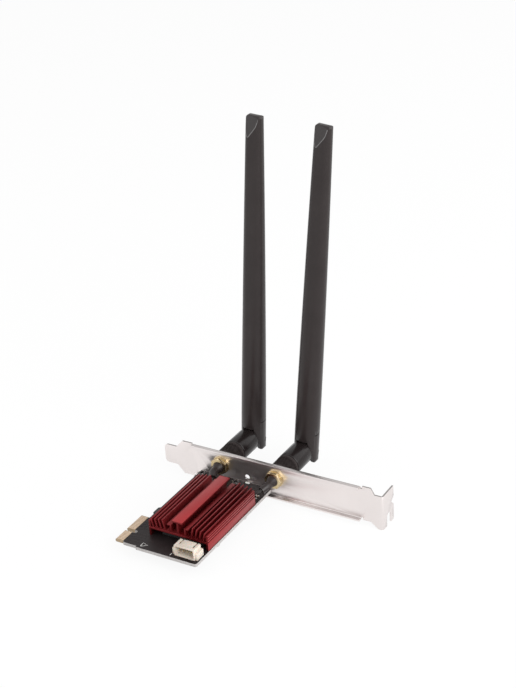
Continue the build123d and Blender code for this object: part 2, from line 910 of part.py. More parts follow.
def yoke_front(reach, low):
    # Outline seen along the jack's axis, with the ears' outer corners rounded
    half = reach / 2
    ends = rect(-half, half, low, 0)
    ends = fillet(ends.vertices().group_by(Axis.Y)[0], yoke_edge)
    return ends + rect(-reach, reach, 0, yoke_height)


def make_yoke(x, lean):
    width, depth, _ = blade_base_size
    low = -hinge_offset - yoke_reach
    body = extrude(section_at(low, blade_base_size), yoke_height - low)
    body &= prism_along(yoke_side(depth, low), -width, width)
    body &= prism_back(yoke_front(width, low), -depth, depth)
    half = tongue_thick / 2 + tongue_clear
    body -= block(-half, half, -depth, depth, low - 1, yoke_roof)
    # A level seam round the sides and the back
    low_seam = seam_height - seam_width / 2
    high_seam = seam_height + seam_width / 2
    seam = block(-width, width, seam_front, depth, low_seam, high_seam)
    body -= seam - rod_z(0, 0, low_seam, high_seam, width - 2 * seam_depth)
    body -= on_pin(Rot(0, 90, 0) * Cylinder(pin_dia / 2 + pin_press_clear, 2 * width))
    taper = (blade_bore_base - blade_bore_tip) / (blade_bore_end - yoke_height)
    spigot = blade_bore_base - taper * spigot_length - spigot_clear
    body += rod_z(0, 0, yoke_height, yoke_height + spigot_length, 2 * spigot)
    return place_on_elbow(x, lean, body)


def make_hinge_pin(x, lean):
    pin = Rot(0, 90, 0) * Cylinder(pin_dia / 2, 2 * pin_half)
    pin = fillet(pin.edges().filter_by(GeomType.CIRCLE), pin_round)
    return place_on_elbow(x, lean, on_pin(pin))


def tip_outline(half, corner):
    # Trapezium that rounds the blade's top corners and stays clear of it below
    low = half + blade_tip_flare
    outline = Polygon((-low, 0), (low, 0), (half, blade_length), (-half, blade_length), align=None)
    return fillet(outline.vertices().group_by(Axis.Y)[-1], corner)


def make_blade(x, lean):
    sections = [
        section_at(yoke_height, blade_base_size),
        section_at(blade_mid, blade_mid_size),
        section_at(blade_length, blade_tip_size),
    ]
    blade = loft(sections)
    width, depth, _ = blade_tip_size
    reach = blade_base_size[0]
    blade &= prism_back(tip_outline(width / 2, blade_tip_corner), -reach, reach)
    blade &= prism_along(tip_outline(depth / 2, blade_tip_round), -reach, reach)
    bore = Plane((0, 0, yoke_height)) * Circle(blade_bore_base)
    end = Plane((0, 0, blade_bore_end)) * Circle(blade_bore_tip)
    blade -= loft([bore, end])
    # The slanting flat on the front of the tip
    low = Vector(-width / 2, -depth / 2, blade_length - facet_drop)
    high = Vector(width / 2, -depth / 2, blade_length - facet_low)
    back = Vector(-width / 2, -depth / 2 + facet_depth, blade_length)
    normal = (high - low).cross(back - low).normalized()
    facet = Plane(low, x_dir=(high - low).normalized(), z_dir=normal)
    blade = split(blade, bisect_by=facet, keep=Keep.BOTTOM if normal.Y < 0 else Keep.TOP)
    return place_on_elbow(x, lean, blade)


def make_radiator(x, lean):
    z0 = yoke_height + spigot_length
    z1 = z0 + radiator_tube_length
    body = rod_z(0, 0, z0, z1, radiator_tube_dia)
    body += rod_z(0, 0, z1, blade_bore_end - radiator_end_gap, radiator_rod_dia)
    return place_on_elbow(x, lean, body)


def write(name, solids):
    shape = Compound(children=list(solids)) if isinstance(solids, (list, tuple)) else solids
    export_step(shape, os.path.join("parts", name + ".step"))


def main():
    os.makedirs("parts", exist_ok=True)
    write("board", make_board())
    write("upper_contacts", make_contacts(board_top))
    write("lower_contacts", make_contacts(-board_top - contact_thick))
    write("bracket", make_bracket())
    write("board_screws", make_board_screws())
    write("heat_sink", make_heat_sink())
    write("heat_sink_screws", make_sink_screws())
    write("module_board", make_module_board())
    write("module_shield", make_module_shield())
    write("thermal_pad", make_thermal_pad())
    write("module_socket", make_module_socket())
    write("module_standoff", make_module_standoff())
    write("module_screw", make_module_screw())
    write("header_housing", make_header_housing())
    write("header_pins", make_header_pins())
    write("chip_capacitors", make_capacitors())
    write("regulator", make_regulator())
    write("inductor", make_inductor())
    write("indicator", make_indicator())
    for name, x, lean in jack_places:
        side = -1 if name == "left" else 1
        write(name + "_jack", make_jack(x, jack_hex_turn_degrees[name]))
        write(name + "_jack_washer", make_jack_washer(x))
        write(name + "_jack_nut", make_jack_nut(x))
        write(name + "_jack_insulator", make_jack_insulator(x))
        write(name + "_jack_contact", make_jack_contact(x))
        cable = make_cable(x, side)
        write(name + "_pigtail_cable", cable)
        write(name + "_pigtail_sleeve", make_sleeve(x, side, cable))
        write(name + "_pigtail_plug", make_plug(side))
        write(name + "_coupling_ring", make_ring(x))
        write(name + "_connector_core", make_core(x))
        write(name + "_knuckle", make_knuckle(x, lean))
        write(name + "_yoke", make_yoke(x, lean))
        write(name + "_hinge_pin", make_hinge_pin(x, lean))
        write(name + "_blade", make_blade(x, lean))
        write(name + "_radiator", make_radiator(x, lean))


main()
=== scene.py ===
import bmesh
import bpy
import json
import math
from mathutils import Matrix, Vector


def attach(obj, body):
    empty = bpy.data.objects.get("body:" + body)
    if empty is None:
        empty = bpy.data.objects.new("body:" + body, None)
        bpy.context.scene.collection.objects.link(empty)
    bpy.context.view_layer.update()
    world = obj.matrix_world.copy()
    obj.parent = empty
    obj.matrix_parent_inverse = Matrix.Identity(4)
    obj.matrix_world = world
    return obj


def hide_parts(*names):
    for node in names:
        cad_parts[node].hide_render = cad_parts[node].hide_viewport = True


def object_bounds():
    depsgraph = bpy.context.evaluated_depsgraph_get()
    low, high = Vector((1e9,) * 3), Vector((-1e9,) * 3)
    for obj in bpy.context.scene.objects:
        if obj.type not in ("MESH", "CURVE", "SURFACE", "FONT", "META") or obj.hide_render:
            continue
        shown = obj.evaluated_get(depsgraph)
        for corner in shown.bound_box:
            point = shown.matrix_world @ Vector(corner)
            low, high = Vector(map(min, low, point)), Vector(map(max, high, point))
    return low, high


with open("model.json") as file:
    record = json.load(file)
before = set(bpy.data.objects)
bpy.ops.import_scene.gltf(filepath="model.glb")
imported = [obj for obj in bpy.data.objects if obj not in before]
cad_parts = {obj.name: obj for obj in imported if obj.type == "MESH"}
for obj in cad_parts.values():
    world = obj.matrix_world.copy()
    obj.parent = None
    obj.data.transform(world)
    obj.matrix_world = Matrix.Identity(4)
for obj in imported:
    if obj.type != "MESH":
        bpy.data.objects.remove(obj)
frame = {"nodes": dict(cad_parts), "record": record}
cadBox = [list(corner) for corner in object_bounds()]
cadNodes = frame["nodes"]
scene = bpy.context.scene
mm = 0.001
sides = ("left", "right")
print("frame loaded:", len(cadNodes), "solids groups")


# shader helpers
def addNode(tree, kind, values=None, **settings):
    node = tree.nodes.new(kind)
    for key, value in settings.items():
        setattr(node, key, value)
    for key, value in (values or {}).items():
        node.inputs[key].default_value = value
    return node


def wire(tree, source, target):
    tree.links.new(source, target)


def plainFinish(name, sockets):
    finish = bpy.data.materials.new(name)
    finish.use_nodes = True
    shader = finish.node_tree.nodes["Principled BSDF"]
    for key, value in sockets.items():
        shader.inputs[key].default_value = value
    return finish


noiseLow, noiseHigh = 0.3, 0.7  # the part of a noise's range that its values fill


def grainedFinish(name, look):
    # two noises on object coordinates: a broad one tints and dulls, a fine one roughens the skin
    finish = plainFinish(name, look.get("sockets", {}))
    tree = finish.node_tree
    shader = tree.nodes["Principled BSDF"]
    place = addNode(tree, "ShaderNodeTexCoord")
    turn = addNode(tree, "ShaderNodeMapping", {"Scale": look.get("stretch", (1, 1, 1))})
    wire(tree, place.outputs["Object"], turn.inputs["Vector"])
    broad = addNode(tree, "ShaderNodeTexNoise", {"Scale": look["broadScale"], "Detail": 4.0,
                                                 "Roughness": 0.6})
    fine = addNode(tree, "ShaderNodeTexNoise", {"Scale": look["fineScale"], "Detail": 2.0})
    wire(tree, place.outputs["Object"], broad.inputs["Vector"])
    wire(tree, turn.outputs["Vector"], fine.inputs["Vector"])
    tint = addNode(tree, "ShaderNodeMix", data_type="RGBA")
    tint.inputs["A"].default_value = (*look["dark"], 1)
    tint.inputs["B"].default_value = (*look["light"], 1)
    spread = addNode(tree, "ShaderNodeMapRange", {"From Min": noiseLow, "From Max": noiseHigh})
    wire(tree, broad.outputs["Fac"], spread.inputs["Value"])
    wire(tree, spread.outputs["Result"], tint.inputs["Factor"])
    wire(tree, tint.outputs["Result"], shader.inputs["Base Color"])
    dull = addNode(tree, "ShaderNodeMapRange", {"From Min": noiseLow, "From Max": noiseHigh,
                                                "To Min": look["rough"][0], "To Max": look["rough"][1]})
    blend = addNode(tree, "ShaderNodeMix", {"Factor": 0.5})
    wire(tree, broad.outputs["Fac"], blend.inputs["A"])
    wire(tree, fine.outputs["Fac"], blend.inputs["B"])
    wire(tree, blend.outputs["Result"], dull.inputs["Value"])
    wire(tree, dull.outputs["Result"], shader.inputs["Roughness"])
    bump = addNode(tree, "ShaderNodeBump", {"Strength": look["bump"], "Distance": look["bumpDepth"]})
    wire(tree, fine.outputs["Fac"], bump.inputs["Height"])
    wire(tree, bump.outputs["Normal"], shader.inputs["Normal"])
    return finish


# skins that several finishes share
redSkin = {"sockets": {"Metallic": 0.8, "Coat Weight": 0.2, "Coat Roughness": 0.4}, "broadScale": 60.0,
           "fineScale": 5200.0, "stretch": (1, 0.02, 1), "rough": (0.34, 0.46), "bump": 0.12,
           "bumpDepth": 0.00002}
steelSkin = {"sockets": {"Metallic": 1.0}, "broadScale": 90.0, "fineScale": 2500.0, "rough": (0.26, 0.38),
             "bump": 0.08, "bumpDepth": 0.00001}
screwSkin = {"broadScale": 400.0, "fineScale": 4200.0, "bump": 0.06, "bumpDepth": 0.00001}
blackSkin = {"broadScale": 70.0, "fineScale": 4600.0, "bump": 0.12, "bumpDepth": 0.00003}
edgeSkin = {"broadScale": 200.0, "fineScale": 4600.0, "rough": (0.34, 0.44), "bump": 0.1,
            "bumpDepth": 0.00003}
ringSkin = {"broadScale": 150.0, "fineScale": 4200.0, "bump": 0.1, "bumpDepth": 0.00002}
finishLooks = {
    # the heat sink's red in lit and shaded copies: painted light on the walls and bar top, painted shade on
    # the fins and the left wall's foot
    "redAnodisedShaded": {**redSkin, "dark": (0.165, 0.007, 0.009), "light": (0.205, 0.010, 0.013)},
    "redLitOuter": {**redSkin, "dark": (0.315, 0.022, 0.025), "light": (0.385, 0.031, 0.034)},
    # the rounds' lighter red: partly edge wear, partly a painted highlight
    "redWornEdgeHighlight": {"sockets": {"Metallic": 0.85}, "dark": (0.36, 0.060, 0.070), "light": (0.44, 0.095, 0.105),
                "broadScale": 180.0, "fineScale": 5200.0, "stretch": (1, 0.05, 1), "rough": (0.32, 0.44),
                "bump": 0.1, "bumpDepth": 0.00002},
    "redShade": {**redSkin, "sockets": {"Metallic": 0.8}, "dark": (0.050, 0.0026, 0.0032),
                 "light": (0.066, 0.0034, 0.0042), "rough": (0.42, 0.54)},
    "brightPlate": {"sockets": {"Metallic": 1.0}, "dark": (0.805, 0.750, 0.735),
                    "light": (0.855, 0.800, 0.785), "broadScale": 28.0, "fineScale": 3600.0,
                    "stretch": (0.04, 1, 1), "rough": (0.34, 0.40), "bump": 0.015, "bumpDepth": 0.00001},
    # darker copies of the steel for the sheet's cut edges and flange tops: painted shade
    "steelEdgeShade": {**steelSkin, "dark": (0.27, 0.25, 0.245), "light": (0.35, 0.33, 0.32)},
    "brightShade": {**steelSkin, "dark": (0.50, 0.465, 0.455), "light": (0.58, 0.54, 0.53)},
    "boardMask": {"sockets": {"Specular IOR Level": 0.24}, "dark": (0.0100, 0.0066, 0.0068),
                  "light": (0.0145, 0.0100, 0.0102), "broadScale": 160.0, "fineScale": 2600.0,
                  "rough": (0.42, 0.56), "bump": 0.1, "bumpDepth": 0.00003},
    "boardEdge": {"dark": (0.36, 0.338, 0.332), "light": (0.47, 0.45, 0.438), "broadScale": 900.0,
                  "fineScale": 5200.0, "stretch": (1, 1, 4), "rough": (0.55, 0.75), "bump": 0.2,
                  "bumpDepth": 0.00003},
    "fingerBed": {"sockets": {"Specular IOR Level": 0.4}, "dark": (0.33, 0.24, 0.150),
                  "light": (0.40, 0.30, 0.190), "broadScale": 700.0, "fineScale": 4200.0,
                  "rough": (0.45, 0.6), "bump": 0.12, "bumpDepth": 0.00002},
    "fingerGold": {"sockets": {"Metallic": 0.75}, "dark": (0.59, 0.45, 0.33), "light": (0.68, 0.525, 0.39),
                   "broadScale": 500.0, "fineScale": 3800.0, "stretch": (0.1, 1, 1), "rough": (0.34, 0.46),
                   "bump": 0.08, "bumpDepth": 0.00001},
    "goldPlate": {"sockets": {"Metallic": 1.0}, "dark": (0.50, 0.38, 0.20), "light": (0.70, 0.58, 0.37),
                  "broadScale": 240.0, "fineScale": 3800.0, "rough": (0.20, 0.32), "bump": 0.06,
                  "bumpDepth": 0.00001},
    "screwSteel": {**screwSkin, "sockets": {"Metallic": 1.0}, "dark": (0.70, 0.69, 0.68),
                   "light": (0.80, 0.79, 0.78), "rough": (0.16, 0.28)},
    "screwBlack": {**screwSkin, "sockets": {"Metallic": 0.9}, "dark": (0.045, 0.042, 0.042),
                   "light": (0.075, 0.07, 0.07), "rough": (0.14, 0.24)},
    "tinned": {"sockets": {"Metallic": 1.0}, "dark": (0.66, 0.65, 0.63), "light": (0.78, 0.77, 0.75),
               "broadScale": 500.0, "fineScale": 3500.0, "rough": (0.22, 0.38), "bump": 0.12,
               "bumpDepth": 0.00001},
    "paleNylon": {"sockets": {"Subsurface Weight": 0.12, "Subsurface Scale": 0.0006},
                  "dark": (0.59, 0.52, 0.445), "light": (0.675, 0.60, 0.515), "broadScale": 220.0,
                  "fineScale": 4200.0, "rough": (0.42, 0.56), "bump": 0.08, "bumpDepth": 0.00002},
    # a darker copy of the nylon for the socket's inside: painted shade
    "nylonShade": {"dark": (0.27, 0.235, 0.18), "light": (0.33, 0.29, 0.225), "broadScale": 220.0,
                   "fineScale": 4200.0, "rough": (0.5, 0.65), "bump": 0.08, "bumpDepth": 0.00002},
    "satinBlack": {**blackSkin, "sockets": {"Specular IOR Level": 0.26}, "dark": (0.0225, 0.0172, 0.0170),
                   "light": (0.0270, 0.0212, 0.0208), "rough": (0.26, 0.35)},
    "satinEdge": {**edgeSkin, "sockets": {"Specular IOR Level": 0.46}, "dark": (0.0200, 0.0160, 0.0160),
                  "light": (0.0270, 0.0225, 0.0222)},
    "knuckleBlack": {**blackSkin, "sockets": {"Specular IOR Level": 0.18}, "dark": (0.0115, 0.0084, 0.0084),
                     "light": (0.0145, 0.0110, 0.0108), "rough": (0.19, 0.27)},
    # a lighter copy of the blade's black for the slanting flat: painted light
    "facetLitBlack": {**blackSkin, "sockets": {"Specular IOR Level": 0.36}, "dark": (0.0265, 0.0220, 0.0220),
                   "light": (0.0310, 0.0262, 0.0260), "rough": (0.40, 0.50)},
    # a light grey for the rim of the blade's flat: painted highlight
    "facetRimHighlight": {**edgeSkin, "sockets": {"Specular IOR Level": 0.5}, "dark": (0.13, 0.125, 0.125),
                  "light": (0.17, 0.165, 0.165)},
    "ringBlack": {**ringSkin, "sockets": {"Specular IOR Level": 0.12}, "dark": (0.0330, 0.0260, 0.0250),
                  "light": (0.0420, 0.0340, 0.0330), "rough": (0.6, 0.72)},
    # near black for the knurl grooves, the yoke's seam and the module board under the heat sink: painted
    # shade
    "grooveBlack": {**ringSkin, "sockets": {"Specular IOR Level": 0.05}, "dark": (0.0035, 0.0020, 0.0020),
                    "light": (0.0060, 0.0036, 0.0035), "rough": (0.7, 0.85)},
    "sleeveBlack": {"sockets": {"Specular IOR Level": 0.42}, "dark": (0.0125, 0.0075, 0.0072),
                    "light": (0.0190, 0.0125, 0.0120), "broadScale": 300.0, "fineScale": 1500.0,
                    "stretch": (1, 0.35, 1), "rough": (0.26, 0.4), "bump": 0.25, "bumpDepth": 0.00005},
    "chipBlack": {"dark": (0.014, 0.014, 0.015), "light": (0.024, 0.024, 0.025),
                  "broadScale": 300.0, "fineScale": 5200.0, "rough": (0.45, 0.62), "bump": 0.18,
                  "bumpDepth": 0.00002},
    "chipTan": {"dark": (0.26, 0.19, 0.125), "light": (0.33, 0.25, 0.17), "broadScale": 600.0,
                "fineScale": 5200.0, "rough": (0.4, 0.55), "bump": 0.1, "bumpDepth": 0.00001},
    "ferriteDark": {"dark": (0.016, 0.015, 0.015), "light": (0.028, 0.026, 0.026),
                    "broadScale": 700.0, "fineScale": 6200.0, "rough": (0.55, 0.75), "bump": 0.35,
                    "bumpDepth": 0.00003},
    "whiteInk": {"dark": (0.60, 0.59, 0.575), "light": (0.72, 0.71, 0.69), "broadScale": 900.0,
                 "fineScale": 5200.0, "rough": (0.5, 0.65), "bump": 0.15, "bumpDepth": 0.00001},
    "padGrey": {"dark": (0.22, 0.24, 0.27), "light": (0.28, 0.30, 0.33), "broadScale": 300.0,
                "fineScale": 3200.0, "rough": (0.6, 0.8), "bump": 0.3, "bumpDepth": 0.00004},
    "whiteResin": {"sockets": {"Subsurface Weight": 0.1, "Subsurface Scale": 0.0005},
                   "dark": (0.78, 0.78, 0.76), "light": (0.85, 0.85, 0.83), "broadScale": 300.0,
                   "fineScale": 3200.0, "rough": (0.3, 0.45), "bump": 0.05, "bumpDepth": 0.00001},
}
finishes = {name: grainedFinish(name, look) for name, look in finishLooks.items()}
print("finishes made:", len(finishes))


# mesh helpers
def linkPiece(name, data):
    piece = bpy.data.objects.new(name, data)
    scene.collection.objects.link(piece)
    return piece


def bakedMesh(piece):
    graph = bpy.context.evaluated_depsgraph_get()
    return bpy.data.meshes.new_from_object(piece.evaluated_get(graph), depsgraph=graph)


def smoothByAngle(mesh, degrees):
    mesh.shade_smooth()
    mesh.set_sharp_from_angle(angle=math.radians(degrees))


def bodyOf(node):
    for body, members in frame["record"]["behaviour"]["bodies"].items():
        if node in members:
            return body


slotOf = {entry["node"]: entry["material_slot"] for entry in frame["record"]["subparts"]}


def settle(piece, body, slot, *standsFor):
    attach(piece, body)
    if standsFor:
        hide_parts(*standsFor)
    return piece


copyDefaults = {"angle": 32, "steps": 2, "smooth": 35, "mergeGap": 0.002, "planeAngle": 0.4, "sliver": 0.004}


def weighRounds(shape, look):
    # edges that turn enough, and the rim of a flat, take the round
    weights = shape.edges.layers.float.new("bevel_weight_edge")
    limit = math.radians(look["angle"])
    flush = look.get("flush", lambda edge: False)
    flat = look.get("flat")
    for edge in shape.edges:
        turned = len(edge.link_faces) == 2 and edge.calc_face_angle() > limit
        rim = flat is not None and len({face.material_index == flat for face in edge.link_faces}) == 2
        edge[weights] = 1.0 if (turned or rim) and not flush(edge) else 0.0


def roundedMesh(piece, look):
    rounding = piece.modifiers.new("rounding", "BEVEL")
    rounding.width = look["round"] * mm
    rounding.segments = look["steps"]
    rounding.limit_method = "WEIGHT"
    rounding.use_clamp_overlap = True
    rounding.miter_outer = "MITER_ARC"
    if "edgeSlot" in look:
        rounding.material = look["edgeSlot"]
    rounded = bakedMesh(piece)
    piece.modifiers.remove(rounding)
    smoothByAngle(rounded, look["smooth"])
    return rounded


def creaseEdges(mesh, chosen):
    shape = bmesh.new()
    shape.from_mesh(mesh)
    for edge in shape.edges:
        edge.smooth = edge.smooth and not chosen(edge)
    shape.to_mesh(mesh)
    shape.free()


def keepFlat(mesh, look):
    # the flat's faces stay plane, and its painted highlight rim stops short of the tip
    bare = max(v.co.z for v in mesh.vertices) - look["bareTop"] * mm
    for face in mesh.polygons:
        if face.material_index == look["edgeSlot"] and face.center.z > bare:
            face.material_index = 0
    edges = {edge.key: edge for edge in mesh.edges}
    for face in mesh.polygons:
        if face.material_index == look["flat"]:
            for key in face.edge_keys:
                edges[key].use_edge_sharp = True


def softenedCopy(name, node, settings):
    # a merged copy of the solid with rounded edges, the rounds in their own finish
    look = {**copyDefaults, **settings}
    mesh = cadNodes[node].data.copy()
    mesh.materials.clear()
    for finish in look["finishes"]:
        mesh.materials.append(finishes[finish])
    shape = bmesh.new()
    shape.from_mesh(mesh)
    bmesh.ops.remove_doubles(shape, verts=shape.verts, dist=look["mergeGap"] * mm)
    bmesh.ops.dissolve_limit(shape, angle_limit=math.radians(look["planeAngle"]), verts=shape.verts,
                             edges=shape.edges)
    for face in shape.faces:
        face.material_index = 0
    if "paint" in look:
        look["paint"](shape)
    bmesh.ops.dissolve_degenerate(shape, dist=look["sliver"] * mm, edges=shape.edges)
    weighRounds(shape, look)
    shape.to_mesh(mesh)
    shape.free()
    piece = linkPiece(name, mesh)
    piece.data = roundedMesh(piece, look)
    if "crease" in look:
        creaseEdges(piece.data, look["crease"])
    if "flat" in look:
        keepFlat(piece.data, look)
    return settle(piece, bodyOf(node), slotOf[node], node)


def cutAcross(shape, place, normal):
    whole = shape.verts[:] + shape.edges[:] + shape.faces[:]
    bmesh.ops.bisect_plane(shape, geom=whole, plane_co=place, plane_no=normal)


# pieces that keep their solids and only take a finish
plainFinishes = {
    # the module board lies under the heat sink and takes the near-black painted shade
    "module_board": "grooveBlack", "module_shield": "tinned", "thermal_pad": "padGrey",
    "module_socket": "chipBlack", "module_standoff": "goldPlate", "module_screw": "screwSteel",
}
sidePlainFinishes = {
    "jack_insulator": "whiteResin", "jack_contact": "goldPlate", "pigtail_plug": "goldPlate",
    "connector_core": "goldPlate", "radiator": "goldPlate",
}
for side in sides:
    plainFinishes.update({side + "_" + node: finish for node, finish in sidePlainFinishes.items()})
for node, finish in plainFinishes.items():
    mesh = cadNodes[node].data
    mesh.materials.clear()
    mesh.materials.append(finishes[finish])


# board: the mask covers the faces, the cut edge shows the pale laminate, the fingers lie on a bare bed
def paintBoardEdge(shape):
    bedEnd = boardLook["fingerBedEnd"] * mm
    cutAcross(shape, (bedEnd, 0, 0), (1, 0, 0))
    for face in shape.faces:
        if face.calc_center_median().x < bedEnd:
            face.material_index = 2
        elif abs(face.normal.z) < 0.5:
            face.material_index = 1


boardLook = {"finishes": ("boardMask", "boardEdge", "fingerBed"), "round": 0.06, "steps": 1,
             "paint": paintBoardEdge, "fingerBedEnd": 4.35}
softenedCopy("boardLaminate", "board", boardLook)


# sheet metal, heat sink, screws and header
facing = 0.7  # a face looks along an axis where its normal passes this
leadReach = 0.75  # the regulator's leads start this far from its middle
sinkPaint = {"under": 4.4, "skin": 0.2, "shadeReach": 2.0}
sheetPaint = {"edgeWidth": 0.93, "smallArea": 20.0, "level": 0.95, "rising": 0.2}
socketPaint = {"depth": 1.2, "cover": 0.8, "ceilingHigh": 0.3, "ceilingLow": 2.2}


def paintLeads(shape):
    middle = sum((v.co.y for v in shape.verts)) / len(shape.verts)
    for face in shape.faces:
        if abs(face.calc_center_median().y - middle) > leadReach * mm:
            face.material_index = 1


def paintOuter(shape):
    # the side walls and the bar's top take a lighter red as painted light, the fins a darker red as painted
    # shade, and the left wall's foot lies in painted shade
    low, high = min(v.co.x for v in shape.verts), max(v.co.x for v in shape.verts)
    top = max(v.co.z for v in shape.verts)
    under, skin, shadeReach = (sinkPaint[key] * mm for key in ("under", "skin", "shadeReach"))
    cutAcross(shape, (0, 0, under), (0, 0, 1))
    for face in shape.faces:
        middle = face.calc_center_median()
        side = abs(face.normal.x) > facing and min(middle.x - low, high - middle.x) < skin
        if middle.z < under and middle.x - low < shadeReach:
            face.material_index = 3
        if side or (face.normal.z > facing and top - middle.z < skin):
            face.material_index = 2


def paintSheetEdge(shape):
    # cut edges that look up take a painted shade: faces no wider than the sheet, with sharp long sides
    smallArea = sheetPaint["smallArea"] * mm * mm
    for face in shape.faces:
        longest = max(edge.calc_length() for edge in face.edges)
        sharp = all(edge.calc_face_angle() > 1.0 for edge in face.edges if edge.calc_length() > longest / 2)
        narrow = sharp and face.calc_area() < sheetPaint["edgeWidth"] * mm * longest
        small = face.normal.z > sheetPaint["level"] and face.calc_area() < smallArea
        if small or (narrow and face.normal.z > sheetPaint["rising"]):
            face.material_index = 1
        # the flanges' upper faces take a painted shade
        elif face.normal.z > facing:
            face.material_index = 2  # the flanges' upper faces


def paintSocket(shape):
    # the back and the ceiling of the open socket take a painted shade
    front = min(v.co.y for v in shape.verts)
    top = max(v.co.z for v in shape.verts)
    depth, cover = socketPaint["depth"] * mm, socketPaint["cover"] * mm
    high, low = socketPaint["ceilingHigh"] * mm, socketPaint["ceilingLow"] * mm
    for face in shape.faces:
        middle = face.calc_center_median()
        deep = face.normal.y < -facing and middle.y - front > depth and top - middle.z > cover
        if deep or (face.normal.z < -facing and high < top - middle.z < low):
            face.material_index = 1


softLooks = {
    "bracket": ("bracketSheet", {"finishes": ("brightPlate", "steelEdgeShade", "brightShade"), "round": 0.12,
                                 "paint": paintSheetEdge}),
    # the heat sink's fins, walls and foot take painted light and shade
    "heat_sink": ("finnedSink", {"finishes": ("redAnodisedShaded", "redWornEdgeHighlight", "redLitOuter", "redShade"),
                                 "round": 0.09, "edgeSlot": 1, "paint": paintOuter}),
    "upper_contacts": ("upperFingers", {"finishes": ("fingerGold",), "round": 0.03, "steps": 1}),
    "lower_contacts": ("lowerFingers", {"finishes": ("fingerGold",), "round": 0.03, "steps": 1}),
    "board_screws": ("bracketScrews", {"finishes": ("screwBlack",), "round": 0.06}),
    "heat_sink_screws": ("sinkScrews", {"finishes": ("screwSteel",), "round": 0.06}),
    "header_housing": ("headerHousing", {"finishes": ("paleNylon", "nylonShade"), "round": 0.12,
                                         "paint": paintSocket}),
    "header_pins": ("headerPins", {"finishes": ("goldPlate",), "round": 0.06}),
    "regulator": ("regulatorChip", {"finishes": ("chipBlack", "tinned"), "round": 0.06,
                                    "paint": paintLeads}),
    "inductor": ("powerInductor", {"finishes": ("ferriteDark",), "round": 0.1}),
    "indicator": ("indicatorLamp", {"finishes": ("whiteResin",), "round": 0.12}),
}
for node, (name, look) in softLooks.items():
    softenedCopy(name, node, look)

sideLooks = {
    "jack": ("Jack", {"finishes": ("goldPlate",), "round": 0.1}),
    "jack_washer": ("JackWasher", {"finishes": ("goldPlate",), "round": 0.06}),
    "jack_nut": ("JackNut", {"finishes": ("goldPlate",), "round": 0.12}),
    "knuckle": ("Knuckle", {"finishes": ("knuckleBlack", "satinEdge"), "round": 0.18, "edgeSlot": 1}),
    "yoke": ("Yoke", {"finishes": ("satinBlack", "satinEdge", "grooveBlack"), "round": 0.25, "edgeSlot": 1,
                      "steps": 3}),
    "hinge_pin": ("HingePin", {"finishes": ("satinBlack",), "round": 0.05}),
    "blade": ("Blade", {"finishes": ("satinBlack", "facetRimHighlight", "facetLitBlack"), "round": 0.2, "edgeSlot": 1,
                        "angle": 20, "smooth": 30, "flat": 2, "bareTop": 2.2}),
}
antennaLook = {"elbowY": 91.06, "elbowZ": 6.8, "jointHeight": 13.0, "jointGap": 0.05, "seamLow": 7.39,
               "seamHigh": 7.71, "seamLift": 2.3, "seamHalf": 0.15, "seamSpare": 0.02, "seamKeep": 0.2,
               "earEnd": -4.4, "earCuts": 8, "earPower": 2.1, "earShare": 0.82, "facetReach": 15.0,
               "left": {"x": 16.55, "lean": 4.0}, "right": {"x": 46.75, "lean": 5.7}}


def heightOn(side):
    # height along a leaning antenna above its elbow
    lean = math.radians(antennaLook[side]["lean"])
    along = Vector((math.sin(lean), 0, math.cos(lean)))
    foot = Vector((antennaLook[side]["x"], antennaLook["elbowY"], antennaLook["elbowZ"])) * mm
    return along, foot, lambda place: (place - foot).dot(along) / mm


def jointTest(side):
    # true for edges in the plane where the blade stands on its yoke
    height = heightOn(side)[2]
    level, gap = antennaLook["jointHeight"], antennaLook["jointGap"]
    return lambda edge: all(abs(height(v.co) - level) < gap for v in edge.verts)


def seamTest(side):
    # the seam and the ears' round ends keep their edges
    height = heightOn(side)[2]
    seam = (antennaLook["seamLow"] + antennaLook["seamHigh"]) / 2 + antennaLook["seamLift"]
    joint = jointTest(side)

    def kept(edge):
        places = [height(v.co) for v in edge.verts]
        onSeam = any(abs(place - seam) < antennaLook["seamKeep"] for place in places)
        return joint(edge) or max(places) < antennaLook["earEnd"] or onSeam
    return kept


def roundEars(shape, side):
    # the foot of each ear is cut finely and drawn in to a smooth round end
    along, foot, _ = heightOn(side)
    frameAxes = (Vector((along.z, 0, -along.x)), Vector((0, 1, 0)), along)
    end, cuts, power = antennaLook["earEnd"] * mm, antennaLook["earCuts"], antennaLook["earPower"]

    def local(place):
        return [(place - foot).dot(axis) for axis in frameAxes]

    def cut(chosen, axis, level):
        geom = {part for face in chosen for part in (face, *face.edges, *face.verts)}
        bmesh.ops.bisect_plane(shape, geom=list(geom), plane_co=foot + axis * level, plane_no=axis)

    cut(shape.faces[:], along, end)
    for sign in (-1, 1):
        def inEar(place):
            across, _, height = local(place)
            return across * sign > 0 and height < end + 0.01 * mm

        spots = [local(v.co) for v in shape.verts if inEar(v.co)]
        lows, highs = [min(spot) for spot in zip(*spots)], [max(spot) for spot in zip(*spots)]
        for k, axis in enumerate(frameAxes):
            for step in range(1, cuts):
                chosen = [face for face in shape.faces if all(inEar(v.co) for v in face.verts)]
                cut(chosen, axis, lows[k] + (highs[k] - lows[k]) * step / cuts)
        middle = [(low + high) / 2 for low, high in zip(lows, highs)]
        half = [(high - low) / 2 for low, high in zip(lows, highs)]
        middle[2], half[2] = highs[2], (highs[2] - lows[2]) * antennaLook["earShare"]
        for v in shape.verts:
            if inEar(v.co):
                shares = [(spot - mid) / span for spot, mid, span in zip(local(v.co), middle, half)]
                plan = sum(abs(share) ** (2 * power) for share in shares[:2]) ** 0.5
                reach = max(1.0, (plan + abs(shares[2]) ** power) ** (1 / power))
                v.co = foot + sum(((mid + share * span / reach) * axis for mid, share, span, axis
                                   in zip(middle, shares, half, frameAxes)), Vector())


